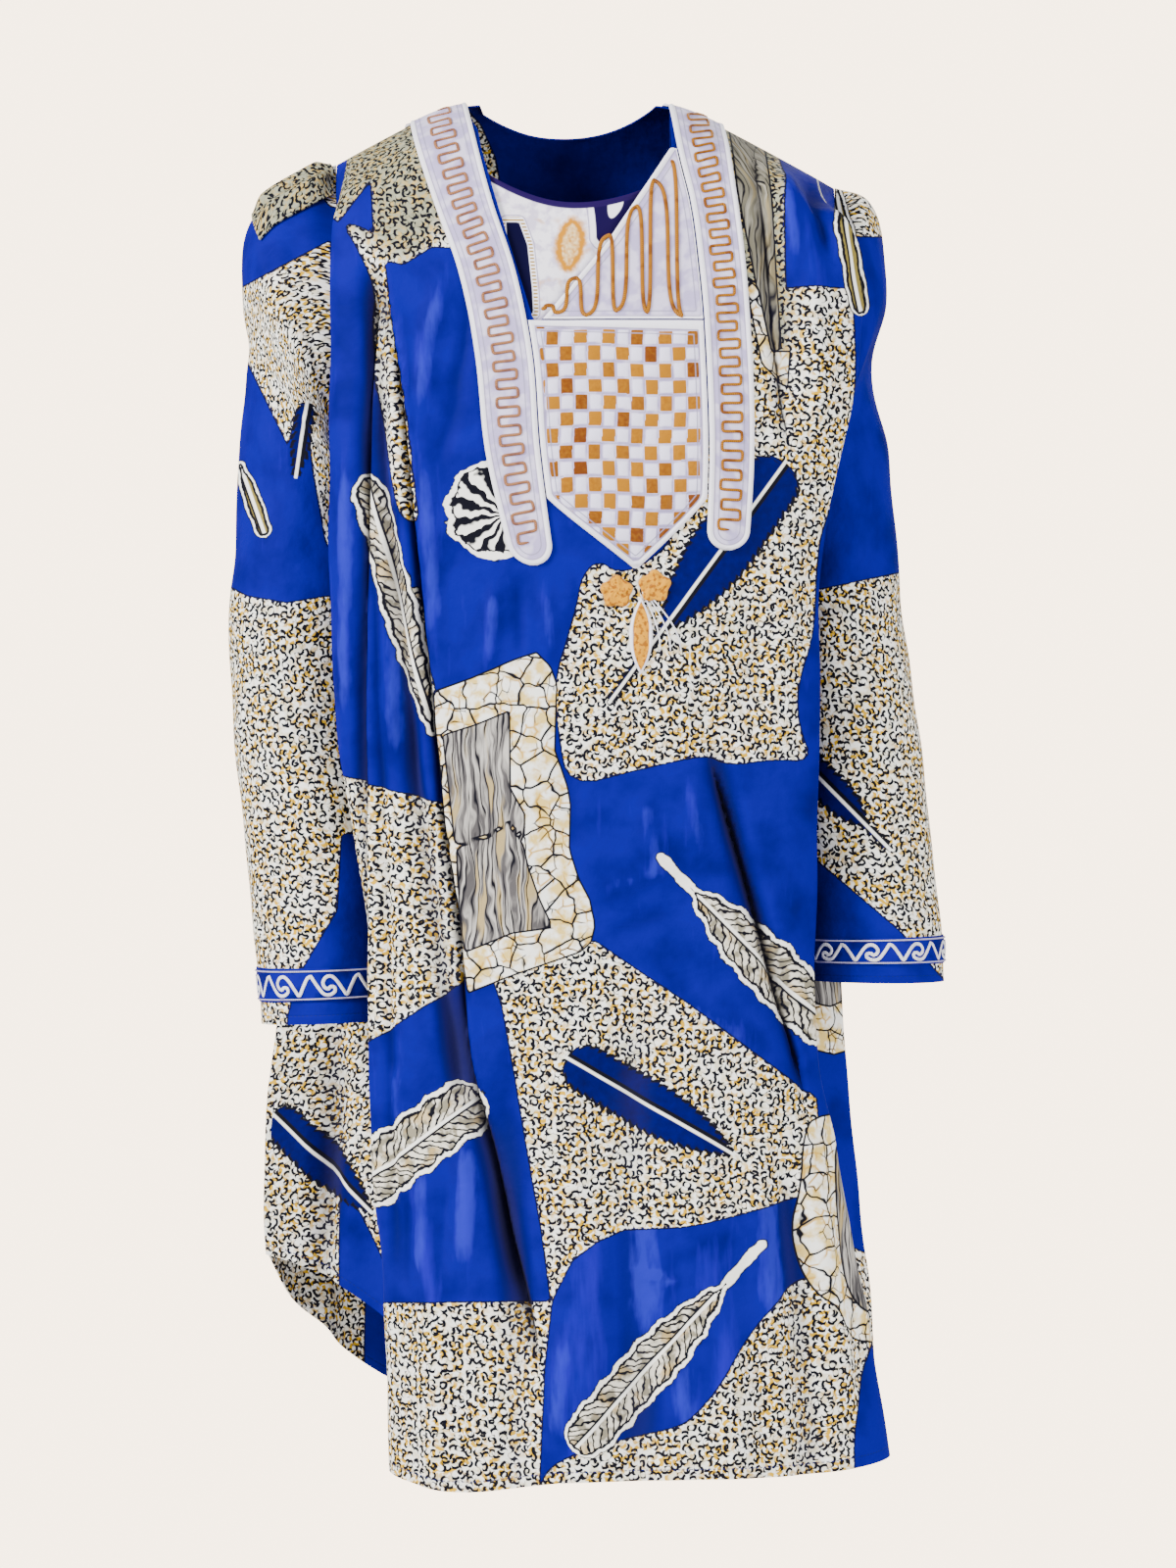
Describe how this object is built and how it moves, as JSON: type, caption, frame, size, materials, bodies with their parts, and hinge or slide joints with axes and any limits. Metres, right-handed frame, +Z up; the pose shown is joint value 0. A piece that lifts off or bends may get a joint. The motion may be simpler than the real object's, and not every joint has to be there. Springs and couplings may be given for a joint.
{
  "type": "grand boubou robe",
  "caption": "Worn grand boubou robe, knee-length, with long sleeves, gathered wings, a draped side, an open V neck and raised embroidered chest bands",
  "frame": {"origin": "midway between the two neck points, at the height of the shoulder seams, where the wearer's shoulders carry the robe", "axes": "+X to the wearer's left, +Y to the back, +Z up"},
  "size_m": [0.531, 0.3634, 1.0143],
  "materials": {
    "print_cloth": "printed cotton, blue and speckled cream blocks, soft sheen",
    "sleeve_cloth": "the same printed cotton",
    "cuff_cloth": "blue cotton with white stitching",
    "embroidery_ground": "close pale lilac stitching",
    "gold_thread": "gold thread, satin stitch",
    "inset_cloth": "white cotton, matt"
  },
  "bodies": {
    "root": {"front_panel": "print_cloth", "back_panel": "print_cloth", "shoulder_gather": "print_cloth", "sleeve_right": "sleeve_cloth", "sleeve_left": "sleeve_cloth", "cuff_band_right": "cuff_cloth", "cuff_band_left": "cuff_cloth", "neck_band_right": "embroidery_ground", "neck_band_left": "embroidery_ground", "neck_band_back": "embroidery_ground", "neck_flap": "embroidery_ground", "bib_shield": "embroidery_ground", "rosette_right": "gold_thread", "rosette_left": "gold_thread", "bib_leaf": "gold_thread", "neck_inset": "inset_cloth"}
  },
  "joints": []
}
